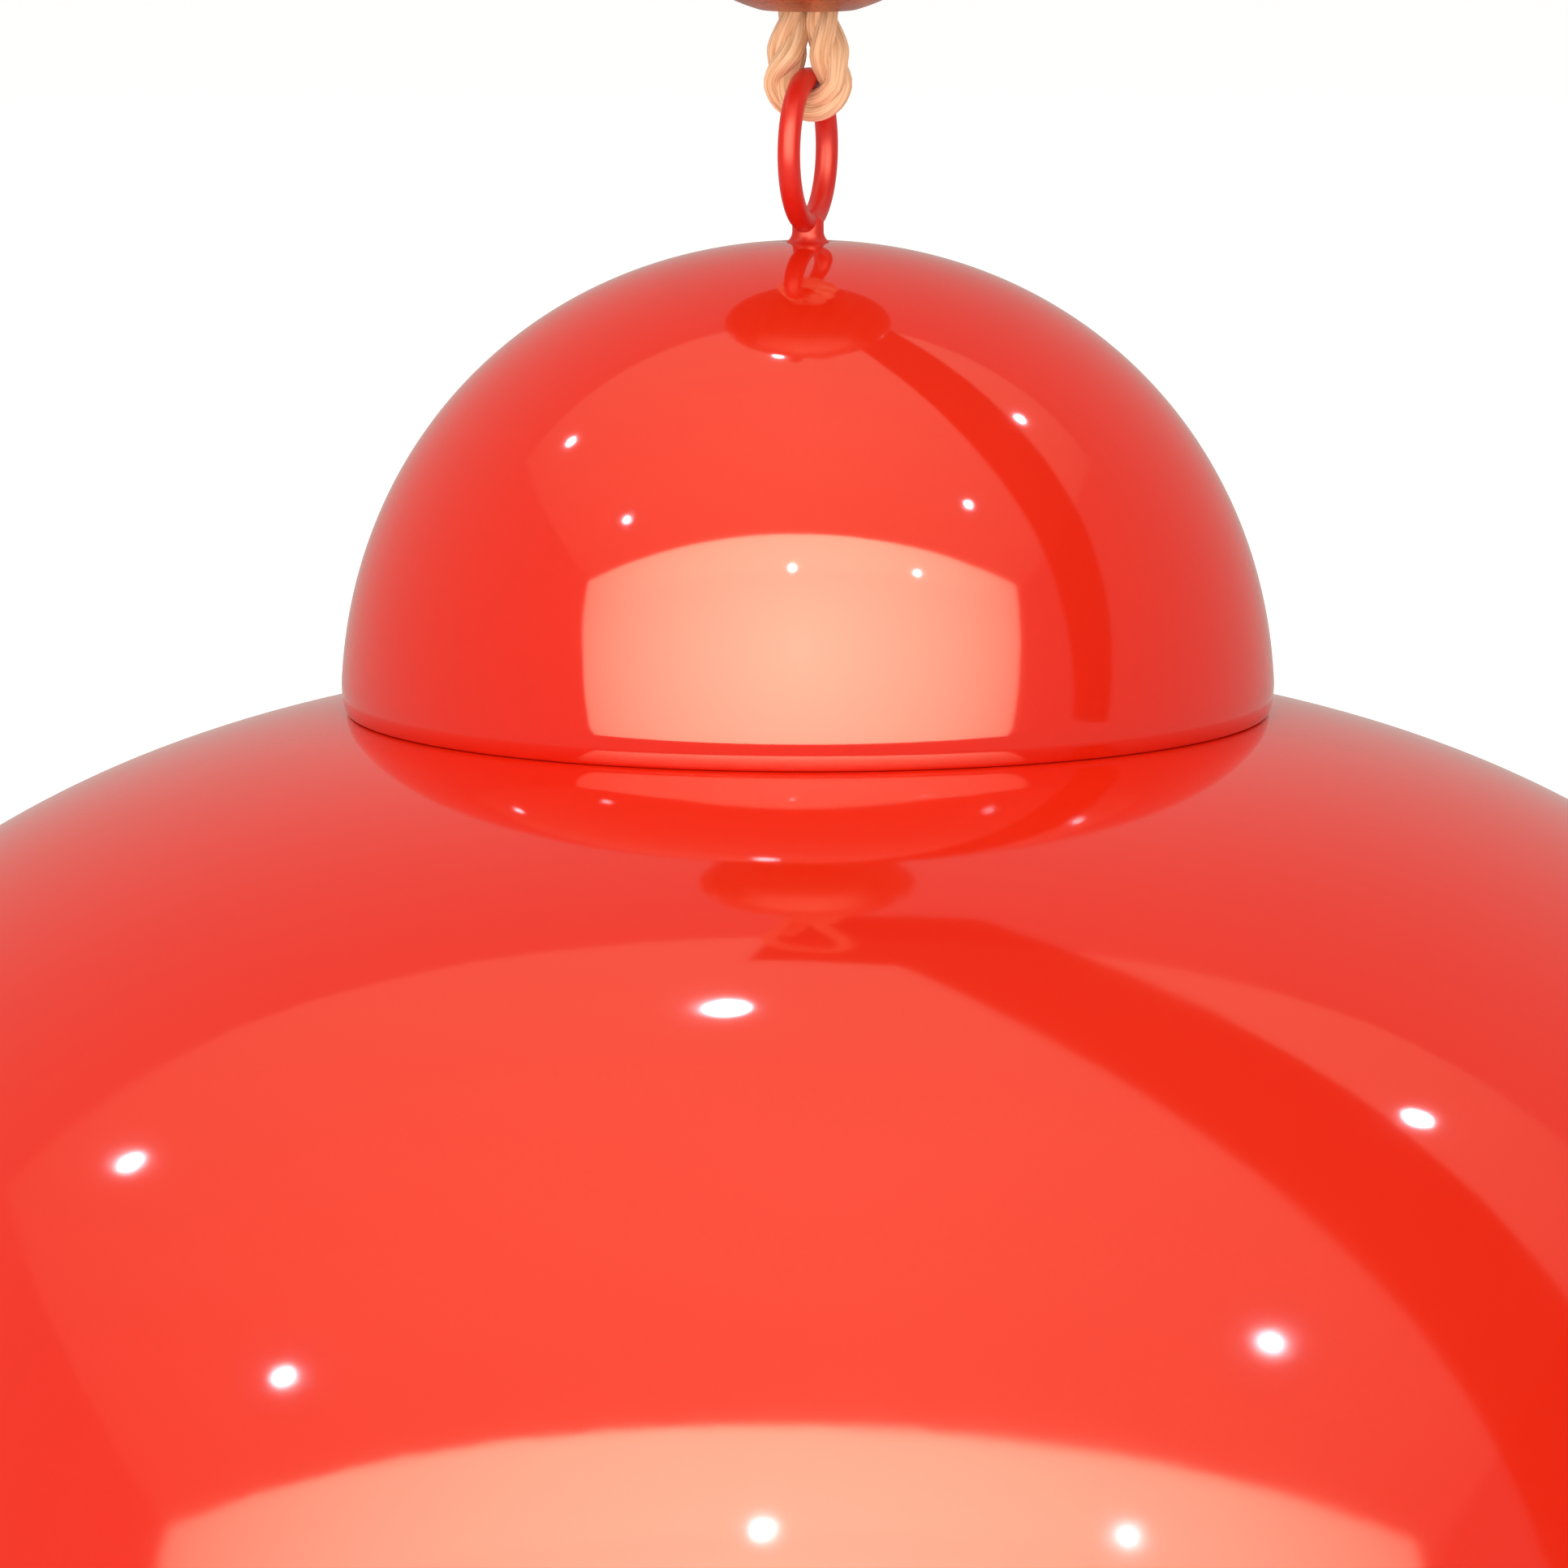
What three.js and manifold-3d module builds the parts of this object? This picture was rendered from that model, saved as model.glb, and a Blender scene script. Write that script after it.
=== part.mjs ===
// A large hanging Christmas bell: a spun steel bell with a small round cap on its crown, hung by
// an eye bolt from a doubled rope that runs up through a wooden bead to a knot and a hanging loop.
// Inside, a link and a rod carry a wooden clapper ball.
// Millimetres, +Z up. The origin is the point where a hook bears on the inside of the rope loop.

import * as THREE from "three";
import { mergeVertices } from "three/addons/utils/BufferGeometryUtils.js";
import Module from "manifold-3d";

// ---- Driving dimensions ------------------------------------------------------------------

const gap = 0.3; // between neighbouring pieces
const shellSides = 40; // sides of the bell and the cap
const turnedSides = 28; // sides of the bead and the ball
const smallSides = 20; // sides of washers, bosses and shanks

// Rope
const ropeRadius = 2.2;
const ropeSides = 8;
const squeezedRopeRadius = 1.85; // where both legs share the bead's bore, and where the rope bends hard
const loopHeight = 46; // hook point down to the knot
const loopHalfWidth = 10.5;
const knotRadius = 8;
const knotHeight = 14;
const tailReach = 17;

// Wooden bead
const beadRadius = 20;
const beadLift = 7.4; // knot down to the bead
const beadAboveCap = 25; // bead's lowest point down to the cap's pole

// Eye bolt
const eyeRadius = 7.9; // centreline of the ring
const eyeWireRadius = 1.25;
const neckHeight = 1.05; // ring down to the cap
const shankRadius = 2;

// Cap
const capRadius = 52;
const capHeight = 52;
const capRoundness = 2.07; // exponent of the superellipse, 2 is a true circle
const capWall = 1.2;
const rimTurnIn = 0.8; // the cap's edge is turned under by this much
const rimTurnHeight = 2.5;

// Bell
const shoulderRadius = 154; // half axes and exponent of the shoulder's superellipse
const shoulderHeight = 182;
const shoulderRoundness = 2.7;
const waistInset = 3.5; // the shoulder passes into the waist this far short of its full radius
const lipFlare = 24; // lip beyond the shoulder
const skirtDrop = 250; // cap's rim down to the lip
const lipWidth = 3.6;
const lipThickness = 2.4;
const bellWall = 1.2;

// Fasteners
const nutFlats = 7;
const nutHeight = 3.2;
const washerRadius = 6;
const crownWasherRadius = 14;
const washerThickness = 1.2;

// Clapper
const linkWireRadius = 1.5;
const eyeNutRingRadius = 8;
const bossRadius = 4.5;
const bossHeight = 7;
const linkRadius = 9;
const rodEyeRadius = 7;
const rodRadius = 2.5;
const ballRadius = 32;
const ballDrop = 144; // clapper's pivot down to the ball's centre
const ballNutFlats = 8;
const ballNutHeight = 4;
const ballWasherRadius = 9;

// ---- Materials ---------------------------------------------------------------------------

const redEnamel = new THREE.MeshStandardMaterial({ color: 0xd0140e, roughness: 0.08, metalness: 0 });
const jute = new THREE.MeshStandardMaterial({ color: 0xd9ab7c, roughness: 0.95, metalness: 0 });
const stainedWood = new THREE.MeshStandardMaterial({ color: 0xa55a2e, roughness: 0.45, metalness: 0 });
const zincSteel = new THREE.MeshStandardMaterial({ color: 0xb9bcc0, roughness: 0.35, metalness: 1 });

// ---- Helpers -----------------------------------------------------------------------------

const wasm = await Module();
wasm.setup();

const bell = new THREE.Group();
bell.name = "christmas_bell";

/** Adds one named piece to the bell. */
function addPiece(name, geometry, material) {
  const mesh = new THREE.Mesh(geometry, material);
  mesh.name = name;
  bell.add(mesh);
}

/** Makes a closed geometry into a solid that can be joined and cut. */
function toSolid(geometry) {
  const bare = geometry.clone();
  bare.deleteAttribute("normal");
  bare.deleteAttribute("uv");
  const merged = mergeVertices(bare, 1e-4);
  return new wasm.Manifold(
    new wasm.Mesh({
      numProp: 3,
      vertProperties: new Float32Array(merged.attributes.position.array),
      triVerts: new Uint32Array(merged.index.array),
    }),
  );
}

/** Gives a solid back as a geometry. */
function toGeometry(solid) {
  const mesh = solid.getMesh();
  const geometry = new THREE.BufferGeometry();
  geometry.setAttribute("position", new THREE.BufferAttribute(new Float32Array(mesh.vertProperties), 3));
  geometry.setIndex(new THREE.BufferAttribute(new Uint32Array(mesh.triVerts), 1));
  return geometry;
}

/** Joins geometries into one body, then cuts others out of it. */
function joinAndCut(joined, cuts = []) {
  let solid = toSolid(joined[0]);
  for (const geometry of joined.slice(1)) {
    solid = solid.add(toSolid(geometry));
  }
  for (const geometry of cuts) {
    solid = solid.subtract(toSolid(geometry));
  }
  return toGeometry(solid);
}

/** Turns a closed outline of [radius, height] points round the Z axis; the outer side runs upwards. */
function turned(outline, sides) {
  const points = outline.map(([radius, height]) => new THREE.Vector2(radius, height));
  points.push(points[0].clone());
  return new THREE.LatheGeometry(points, sides).rotateX(Math.PI / 2);
}

/** A vertical cylinder between two heights. */
function post(radius, bottom, top) {
  const middle = (bottom + top) / 2;
  return new THREE.CylinderGeometry(radius, radius, top - bottom, smallSides)
    .rotateX(Math.PI / 2)
    .translate(0, 0, middle);
}

/** A flat ring between two heights. */
function washer(innerRadius, outerRadius, bottom, top) {
  return turned([[innerRadius, bottom], [outerRadius, bottom], [outerRadius, top], [innerRadius, top]], smallSides);
}

/** An upright wire ring; its plane holds the Z axis and the X or the Y axis. */
function uprightRing(radius, wireRadius, centreHeight, plane) {
  const ring = new THREE.TorusGeometry(radius, wireRadius, 8, 28);
  if (plane === "YZ") {
    ring.rotateY(Math.PI / 2);
  } else {
    ring.rotateX(Math.PI / 2);
  }
  return ring.translate(0, 0, centreHeight);
}

/** A hexagonal prism with a round bore, between two heights. */
function hexNut(acrossFlats, boreRadius, bottom, height) {
  const cornerRadius = acrossFlats / Math.sqrt(3);
  const outline = new THREE.Shape();
  for (let corner = 0; corner < 6; corner += 1) {
    const angle = (corner * Math.PI) / 3;
    const x = cornerRadius * Math.cos(angle);
    const y = cornerRadius * Math.sin(angle);
    if (corner === 0) {
      outline.moveTo(x, y);
    } else {
      outline.lineTo(x, y);
    }
  }
  outline.closePath();
  const bore = new THREE.Path();
  bore.absarc(0, 0, boreRadius, 0, 2 * Math.PI, true);
  outline.holes.push(bore);
  return new THREE.ExtrudeGeometry(outline, { depth: height, bevelEnabled: false, curveSegments: 6 })
    .translate(0, 0, bottom);
}

/** A ball of the given radius about a height, bored through along Z. */
function boredBall(radius, boreRadius, centreHeight) {
  const firstAngle = Math.asin(boreRadius / radius);
  const rows = 14;
  const outline = [];
  for (let row = 0; row <= rows; row += 1) {
    const angle = firstAngle + ((Math.PI - 2 * firstAngle) * row) / rows;
    outline.push([radius * Math.sin(angle), centreHeight - radius * Math.cos(angle)]);
  }
  return turned(outline, turnedSides);
}

/** A round rope of the given radius along a smooth curve through the points. */
function rope(points, radius, steps) {
  const section = new THREE.Shape();
  for (let side = 0; side < ropeSides; side += 1) {
    const angle = (2 * Math.PI * side) / ropeSides;
    if (side === 0) {
      section.moveTo(radius, 0);
    } else {
      section.lineTo(radius * Math.cos(angle), radius * Math.sin(angle));
    }
  }
  section.closePath();
  const route = new THREE.CatmullRomCurve3(points.map(([x, y, z]) => new THREE.Vector3(x, y, z)));
  return new THREE.ExtrudeGeometry(section, { steps, extrudePath: route, bevelEnabled: false });
}

// ---- Heights, from the hook down ---------------------------------------------------------

const knotTop = -loopHeight - gap;
const knotBottom = knotTop - knotHeight;
const knotMiddle = (knotTop + knotBottom) / 2;
const beadCentre = knotBottom - beadLift - beadRadius;
const boreRadius = gap / 2 + 2 * squeezedRopeRadius + gap;
const beadMouth = beadCentre - Math.sqrt(beadRadius ** 2 - boreRadius ** 2);
const capPole = beadCentre - beadRadius - beadAboveCap;
const eyeCentre = capPole + neckHeight + eyeWireRadius + eyeRadius;
const eyeTopWire = eyeCentre + eyeRadius;
const capRim = capPole - capHeight;
const lip = capRim - skirtDrop;

/** Height of a superellipse's arc over its base, at a radius. */
function arcHeight(radius, halfWidth, height, roundness) {
  return height * (1 - (radius / halfWidth) ** roundness) ** (1 / roundness);
}

const shoulderBase = capRim - gap - arcHeight(capRadius, shoulderRadius, shoulderHeight, shoulderRoundness);

/** Height of the bell's outer shoulder at a radius. */
function shoulderAt(radius) {
  return shoulderBase + arcHeight(radius, shoulderRadius, shoulderHeight, shoulderRoundness);
}

// ---- Rope, knot and tails ----------------------------------------------------------------

const legSpread = ropeRadius + gap / 2; // half the distance between two free legs
const loopTop = ropeRadius; // centreline, so that the hook bears at zero

const straightEnd = 3; // a rope leaves its knot or bore straight
const loopRoute = [
  [-legSpread, 0, -loopHeight],
  [-legSpread, 0, -loopHeight + straightEnd],
  [-0.42 * loopHalfWidth, 0, -0.76 * loopHeight],
  [-0.8 * loopHalfWidth, 0, -0.52 * loopHeight],
  [-loopHalfWidth, 0, -0.24 * loopHeight],
  [-0.74 * loopHalfWidth, 0, -0.04 * loopHeight],
  [0, 0, loopTop],
  [0.74 * loopHalfWidth, 0, -0.04 * loopHeight],
  [loopHalfWidth, 0, -0.24 * loopHeight],
  [0.8 * loopHalfWidth, 0, -0.52 * loopHeight],
  [0.42 * loopHalfWidth, 0, -0.76 * loopHeight],
  [legSpread, 0, -loopHeight + straightEnd],
  [legSpread, 0, -loopHeight],
];
addPiece("hanging_loop", rope(loopRoute, ropeRadius, 22), jute);

const knotOutline = [];
const knotRows = 6;
const knotShoulder = 0.55 * knotRadius; // radius of the flat ends
for (let row = 0; row <= knotRows; row += 1) {
  const turn = (Math.PI * row) / knotRows;
  const radius = knotShoulder + (knotRadius - knotShoulder) * Math.sin(turn);
  knotOutline.push([radius, knotMiddle - (knotHeight / 2) * Math.cos(turn)]);
}
addPiece("rope_knot", turned([[0, knotBottom], ...knotOutline, [0, knotTop]], smallSides), jute);

for (const [name, side] of [["rope_tail_left", -1], ["rope_tail_right", 1]]) {
  const tailRoute = [
    [0, side * (knotRadius + gap), knotMiddle],
    [0, side * (knotRadius + gap + 1), knotMiddle],
    [0, side * (0.45 * knotRadius + 0.55 * tailReach), knotMiddle - 0.5 * ropeRadius],
    [0, side * tailReach, knotMiddle - 2.5 * ropeRadius],
  ];
  addPiece(name, rope(tailRoute, ropeRadius, 4), jute);
}

const squeezedSpread = squeezedRopeRadius + gap / 2;
for (const [name, side] of [["rope_leg_left", -1], ["rope_leg_right", 1]]) {
  const legRoute = [
    [side * squeezedSpread, 0, knotBottom - gap],
    [side * squeezedSpread, 0, beadCentre],
    [side * squeezedSpread, 0, beadMouth],
  ];
  addPiece(name, rope(legRoute, squeezedRopeRadius, 5), jute);
}

// The bight lies round the top of the eye's ring.
const bendRadius = eyeWireRadius + gap + squeezedRopeRadius;
const bightTop = beadMouth - squeezedRopeRadius - gap;
const bightRoute = [
  [-squeezedSpread, 0, bightTop],
  [-squeezedSpread, 0, bightTop - 0.4],
  [-0.45 * squeezedSpread - 0.55 * bendRadius, 0, 0.5 * (bightTop + eyeTopWire)],
];
const bendPoints = 8;
for (let step = 0; step <= bendPoints; step += 1) {
  const turn = (Math.PI * step) / bendPoints;
  bightRoute.push([-bendRadius * Math.cos(turn), 0, eyeTopWire - bendRadius * Math.sin(turn)]);
}
bightRoute.push([0.45 * squeezedSpread + 0.55 * bendRadius, 0, 0.5 * (bightTop + eyeTopWire)]);
bightRoute.push([squeezedSpread, 0, bightTop - 0.4]);
bightRoute.push([squeezedSpread, 0, bightTop]);
addPiece("eye_bight", rope(bightRoute, squeezedRopeRadius, 26), jute);

// ---- Bead --------------------------------------------------------------------------------

addPiece("wooden_bead", boredBall(beadRadius, boreRadius, beadCentre), stainedWood);

// ---- Cap ---------------------------------------------------------------------------------

const shankHole = shankRadius + gap;
const capRows = 11;

/** Outline of one face of the cap from its bolt hole out to its rim. */
function capFace(inset) {
  const face = [];
  const radiusLimit = capRadius - inset;
  const heightLimit = capHeight - inset;
  const firstAngle = Math.asin(shankHole / radiusLimit);
  for (let row = 0; row <= capRows; row += 1) {
    const angle = firstAngle + ((Math.PI / 2 - firstAngle) * row) / capRows;
    const radius = radiusLimit * Math.sin(angle) ** (2 / capRoundness);
    const kept = row === 0 ? shankHole : radius;
    face.push([kept, capRim + arcHeight(Math.min(kept, radiusLimit), radiusLimit, heightLimit, capRoundness)]);
  }
  const edgeRadius = radiusLimit - rimTurnIn;
  face[capRows][1] = capRim + rimTurnHeight;
  face.push([radiusLimit - 0.3 * rimTurnIn, capRim + 0.4 * rimTurnHeight]);
  face.push([edgeRadius, shoulderAt(edgeRadius) + gap]); // the edge follows the bell under it
  return face;
}

addPiece("cap_dome", turned([...capFace(capWall), ...capFace(0).reverse()], shellSides), redEnamel);

// ---- Bell --------------------------------------------------------------------------------

const shoulderRows = 13;
const waistRows = 8;
const waistStartRadius = shoulderRadius - waistInset;
const lipRadius = shoulderRadius + lipFlare;
const waistStart = shoulderAt(waistStartRadius);
const waistSlope =
  (shoulderHeight / shoulderRadius) *
  ((waistStartRadius / shoulderRadius) * (shoulderHeight / (waistStart - shoulderBase))) ** (shoulderRoundness - 1);
const waistPull = 50; // how far the shoulder's direction is carried into the waist
const waistStep = waistPull / Math.hypot(1, waistSlope);
const lipHeight = lip + lipThickness;
const waistCurve = new THREE.CubicBezierCurve(
  new THREE.Vector2(waistStartRadius, waistStart),
  new THREE.Vector2(waistStartRadius + waistStep, waistStart - waistSlope * waistStep),
  new THREE.Vector2(lipRadius - 19, lipHeight + 26),
  new THREE.Vector2(lipRadius, lipHeight),
);

/** The bell's outer outline from the bolt hole to the lip. */
function bellOutline() {
  const outline = [];
  const lastAngle = Math.asin((waistStartRadius / shoulderRadius) ** (shoulderRoundness / 2));
  for (let row = 0; row < shoulderRows; row += 1) {
    const angle = (lastAngle * row) / shoulderRows;
    const radius = Math.max(shankHole, shoulderRadius * Math.sin(angle) ** (2 / shoulderRoundness));
    outline.push(new THREE.Vector2(radius, shoulderAt(radius)));
  }
  outline.push(...waistCurve.getPoints(waistRows));
  return outline;
}

/** The same outline moved inwards by the wall's thickness. */
function movedIn(outline, distance) {
  return outline.map((point, index) => {
    const before = outline[Math.max(index - 1, 0)];
    const after = outline[Math.min(index + 1, outline.length - 1)];
    const along = after.clone().sub(before).normalize();
    const x = index === 0 ? point.x : point.x + along.y * distance;
    return new THREE.Vector2(x, point.y - along.x * distance);
  });
}

const outerFace = bellOutline();
const innerFace = movedIn(outerFace, bellWall);
const lipInside = lipRadius - lipWidth;
innerFace[innerFace.length - 1] = new THREE.Vector2(lipInside, lipHeight);
const bellLoop = [
  ...innerFace.map((point) => [point.x, point.y]),
  [lipInside, lip],
  [lipRadius, lip],
  ...outerFace.reverse().map((point) => [point.x, point.y]),
];
addPiece("bell_shell", turned(bellLoop, shellSides), redEnamel);

// ---- Eye bolt and its fasteners ----------------------------------------------------------

const washerHole = shankRadius + gap;
const capInsidePole = capPole - capWall;
const capWasherTop = capInsidePole - 2 * gap;
const capNutTop = capWasherTop - washerThickness - gap;
addPiece("cap_washer", washer(washerHole, washerRadius, capWasherTop - washerThickness, capWasherTop), zincSteel);
addPiece("cap_nut", hexNut(nutFlats, washerHole, capNutTop - nutHeight, nutHeight), zincSteel);

const crownInside = shoulderAt(crownWasherRadius) - bellWall;
const crownWasherTop = crownInside - 2 * gap; // clear of the crown's curve
const crownNutTop = crownWasherTop - washerThickness - gap;
const lockNutTop = crownNutTop - nutHeight - gap;
const bossTop = lockNutTop - nutHeight - gap;
const crownWasher = washer(washerHole, crownWasherRadius, crownWasherTop - washerThickness, crownWasherTop);
addPiece("crown_washer", crownWasher, zincSteel);
addPiece("crown_nut", hexNut(nutFlats, washerHole, crownNutTop - nutHeight, nutHeight), zincSteel);
addPiece("lock_nut", hexNut(nutFlats, washerHole, lockNutTop - nutHeight, nutHeight), zincSteel);

const shankEnd = bossTop - 0.75 * bossHeight;
const eyeBolt = joinAndCut([
  uprightRing(eyeRadius, eyeWireRadius, eyeCentre, "YZ"),
  post(shankRadius, shankEnd, eyeCentre - eyeRadius),
]);
addPiece("eye_bolt", eyeBolt, redEnamel);

const bossBottom = bossTop - bossHeight;
const eyeNutCentre = bossBottom - eyeNutRingRadius + 0.5 * linkWireRadius;
const boreFloor = shankEnd - gap;
const eyeNut = joinAndCut(
  [uprightRing(eyeNutRingRadius, linkWireRadius, eyeNutCentre, "XZ"), post(bossRadius, bossBottom, bossTop)],
  [post(washerHole, boreFloor, bossTop + 1)],
);
addPiece("eye_nut", eyeNut, zincSteel);

// ---- Link and clapper --------------------------------------------------------------------

const hangStep = 2 * linkWireRadius + gap; // one wire centre above the other where two rings meet
const linkPivot = eyeNutCentre - eyeNutRingRadius;
const linkCentre = linkPivot + hangStep - linkRadius;
addPiece("link_ring", uprightRing(linkRadius, linkWireRadius, linkCentre, "YZ"), zincSteel);

const clapperPivot = linkCentre - linkRadius;
const rodEyeCentre = clapperPivot + hangStep - rodEyeRadius;
const ballCentre = clapperPivot - ballDrop;
const ballBore = rodRadius + gap;
const upperWasherBottom = ballCentre + ballRadius + gap;
const upperNutBottom = upperWasherBottom + washerThickness + gap;
const lowerWasherTop = ballCentre - ballRadius - gap;
const acornTop = lowerWasherTop - washerThickness - gap;
const acornWall = 1.5;
const rodEnd = acornTop - ballNutHeight + gap;

const clapperRod = joinAndCut([
  uprightRing(rodEyeRadius, linkWireRadius, rodEyeCentre, "XZ"),
  post(rodRadius, rodEnd, rodEyeCentre - rodEyeRadius),
]);
addPiece("clapper_rod", clapperRod, zincSteel);
addPiece("ball_upper_nut", hexNut(ballNutFlats, ballBore, upperNutBottom, ballNutHeight), zincSteel);
const upperWasherTop = upperWasherBottom + washerThickness;
addPiece("ball_upper_washer", washer(ballBore, ballWasherRadius, upperWasherBottom, upperWasherTop), zincSteel);
addPiece("clapper_ball", boredBall(ballRadius, ballBore, ballCentre), stainedWood);
const lowerWasherBottom = lowerWasherTop - washerThickness;
addPiece("ball_lower_washer", washer(ballBore, ballWasherRadius, lowerWasherBottom, lowerWasherTop), zincSteel);

const acornDomeRadius = 0.5 * ballNutFlats;
const acornDome = new THREE.SphereGeometry(acornDomeRadius, 16, 10).translate(0, 0, acornTop - ballNutHeight);
const acornBlank = hexNut(ballNutFlats, ballBore, acornTop - ballNutHeight, ballNutHeight);
const acornNut = joinAndCut([acornBlank, acornDome], [post(ballBore, rodEnd - gap, acornTop + 1)]);
addPiece("acorn_nut", acornNut, zincSteel);

export default bell;
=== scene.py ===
# %% [markdown]
# # A large red Christmas bell, hung on a rope
#
# The real object is a bell of thin spun steel with a small round cap on its crown, both dipped
# in glossy red enamel. A wire eye stands on the cap, and a twisted jute rope runs through the
# eye, up through a turned wooden bead, into a wrapped knot and a hanging loop. Inside the bell
# a link and a rod carry a wooden clapper ball.
#
# The moving frame of the bell is already made, to the millimetre, by the CAD model. This lesson
# dresses that frame: each cell builds one piece as a surface worked out with numpy, hangs it on
# the body it moves with, and gives it the finish of the real thing.

# %% Load the frame
import bpy
import numpy as np
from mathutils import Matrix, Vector


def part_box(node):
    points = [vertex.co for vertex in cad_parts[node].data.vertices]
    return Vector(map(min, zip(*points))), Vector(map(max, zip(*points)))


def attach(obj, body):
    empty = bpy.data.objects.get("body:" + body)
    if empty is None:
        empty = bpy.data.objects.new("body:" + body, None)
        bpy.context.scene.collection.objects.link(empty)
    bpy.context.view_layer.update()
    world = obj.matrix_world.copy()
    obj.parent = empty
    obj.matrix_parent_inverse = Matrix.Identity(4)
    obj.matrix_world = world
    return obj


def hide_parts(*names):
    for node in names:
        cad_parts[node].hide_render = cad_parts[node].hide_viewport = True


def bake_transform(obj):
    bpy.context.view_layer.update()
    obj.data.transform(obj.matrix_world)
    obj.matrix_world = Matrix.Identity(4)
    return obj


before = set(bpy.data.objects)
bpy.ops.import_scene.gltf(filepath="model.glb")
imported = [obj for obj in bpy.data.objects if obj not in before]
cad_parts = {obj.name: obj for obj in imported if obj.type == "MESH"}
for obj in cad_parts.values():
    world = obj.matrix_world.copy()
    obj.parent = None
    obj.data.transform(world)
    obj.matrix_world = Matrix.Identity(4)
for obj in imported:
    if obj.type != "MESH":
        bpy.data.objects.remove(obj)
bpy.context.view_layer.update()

# %% [markdown]
# ## Sizes
#
# Blender works in metres and a maker thinks in millimetres, so sizes are written in
# millimetres and multiplied by `mm`. The places of the pieces come from the boxes of the CAD
# nodes. Only what a box can't say, such as the roundness of a curve, is written here.

# %% Sizes read from the frame
mm = 0.001


def low(node):
    """Lowest corner of a CAD node's box, in metres."""
    return np.array(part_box(node)[0])


def high(node):
    """Highest corner of a CAD node's box, in metres."""
    return np.array(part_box(node)[1])


gap = 0.3 * mm
cap_radius = high("cap_dome")[0]
cap_rim = low("cap_dome")[2]
cap_height = 52.0 * mm
cap_pole = cap_rim + cap_height
lip_radius = high("bell_shell")[0]
lip_height = low("bell_shell")[2]
wall = 1.2 * mm
rope_radius = 0.5 * (high("hanging_loop")[1] - low("hanging_loop")[1])
bead_radius = high("wooden_bead")[0]
bead_centre = 0.5 * (high("wooden_bead")[2] + low("wooden_bead")[2])
wire_radius = 1.25 * mm
eye_radius = high("eye_bolt")[1] - wire_radius
eye_centre = high("eye_bolt")[2] - wire_radius - eye_radius
eye_top_wire = eye_centre + eye_radius
print(f"bell {2000 * lip_radius:.0f} mm across, {-1000 * lip_height:.0f} mm from hook to lip")

# %% [markdown]
# ## The camera
#
# The bell is looked at from a little above its shoulder, through a long lens, so that the cap
# stands in the middle of the picture and the eye, the rope's bend and the foot of the bead
# show above it. The aim is a point just under the cap's rim, and a hair to the side of the axis.

# %% Camera
view_azimuth = np.radians(15.6)
view_elevation = np.radians(8.1)
view_distance = 18.0 * cap_radius
aim_height = cap_rim - 0.167 * cap_radius
aim_side = -0.051 * cap_radius
lens_mm = 192.4

to_side = np.array([np.cos(view_azimuth), np.sin(view_azimuth), 0.0])
to_viewer = np.array([np.sin(view_azimuth), -np.cos(view_azimuth), 0.0])
aim = np.array([0.0, 0.0, aim_height]) + aim_side * to_side
straight_up = np.array([0, 0, 1.0])
view_direction = np.cos(view_elevation) * to_viewer + np.sin(view_elevation) * straight_up
eye_point = aim + view_distance * view_direction


def look_from(name, data, place, target):
    """Adds an object at a place whose local -Z axis points at the target."""
    thing = bpy.data.objects.new(name, data)
    bpy.context.collection.objects.link(thing)
    thing.location = Vector(place)
    thing.rotation_euler = (Vector(target) - Vector(place)).to_track_quat("-Z", "Y").to_euler()
    return thing


camera_data = bpy.data.cameras.new("camera")
camera_data.lens = lens_mm
camera_data.sensor_width = 36.0
camera_data.clip_start = 0.01
camera_data.clip_end = 200.0
bpy.context.scene.camera = look_from("camera", camera_data, eye_point, aim)
print(f"camera {view_distance:.2f} m away, lens {lens_mm:.0f} mm")

# %% [markdown]
# ## Surfaces from grids
#
# Every piece here is a grid of points: rows along the piece, columns round it. One function
# turns such a grid into a closed mesh, joins the last column to the first, and turns the faces
# outwards if the volume comes out negative. It also lays a UV map, with U round the piece and
# V along it in metres, for finishes that follow the surface.


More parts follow.
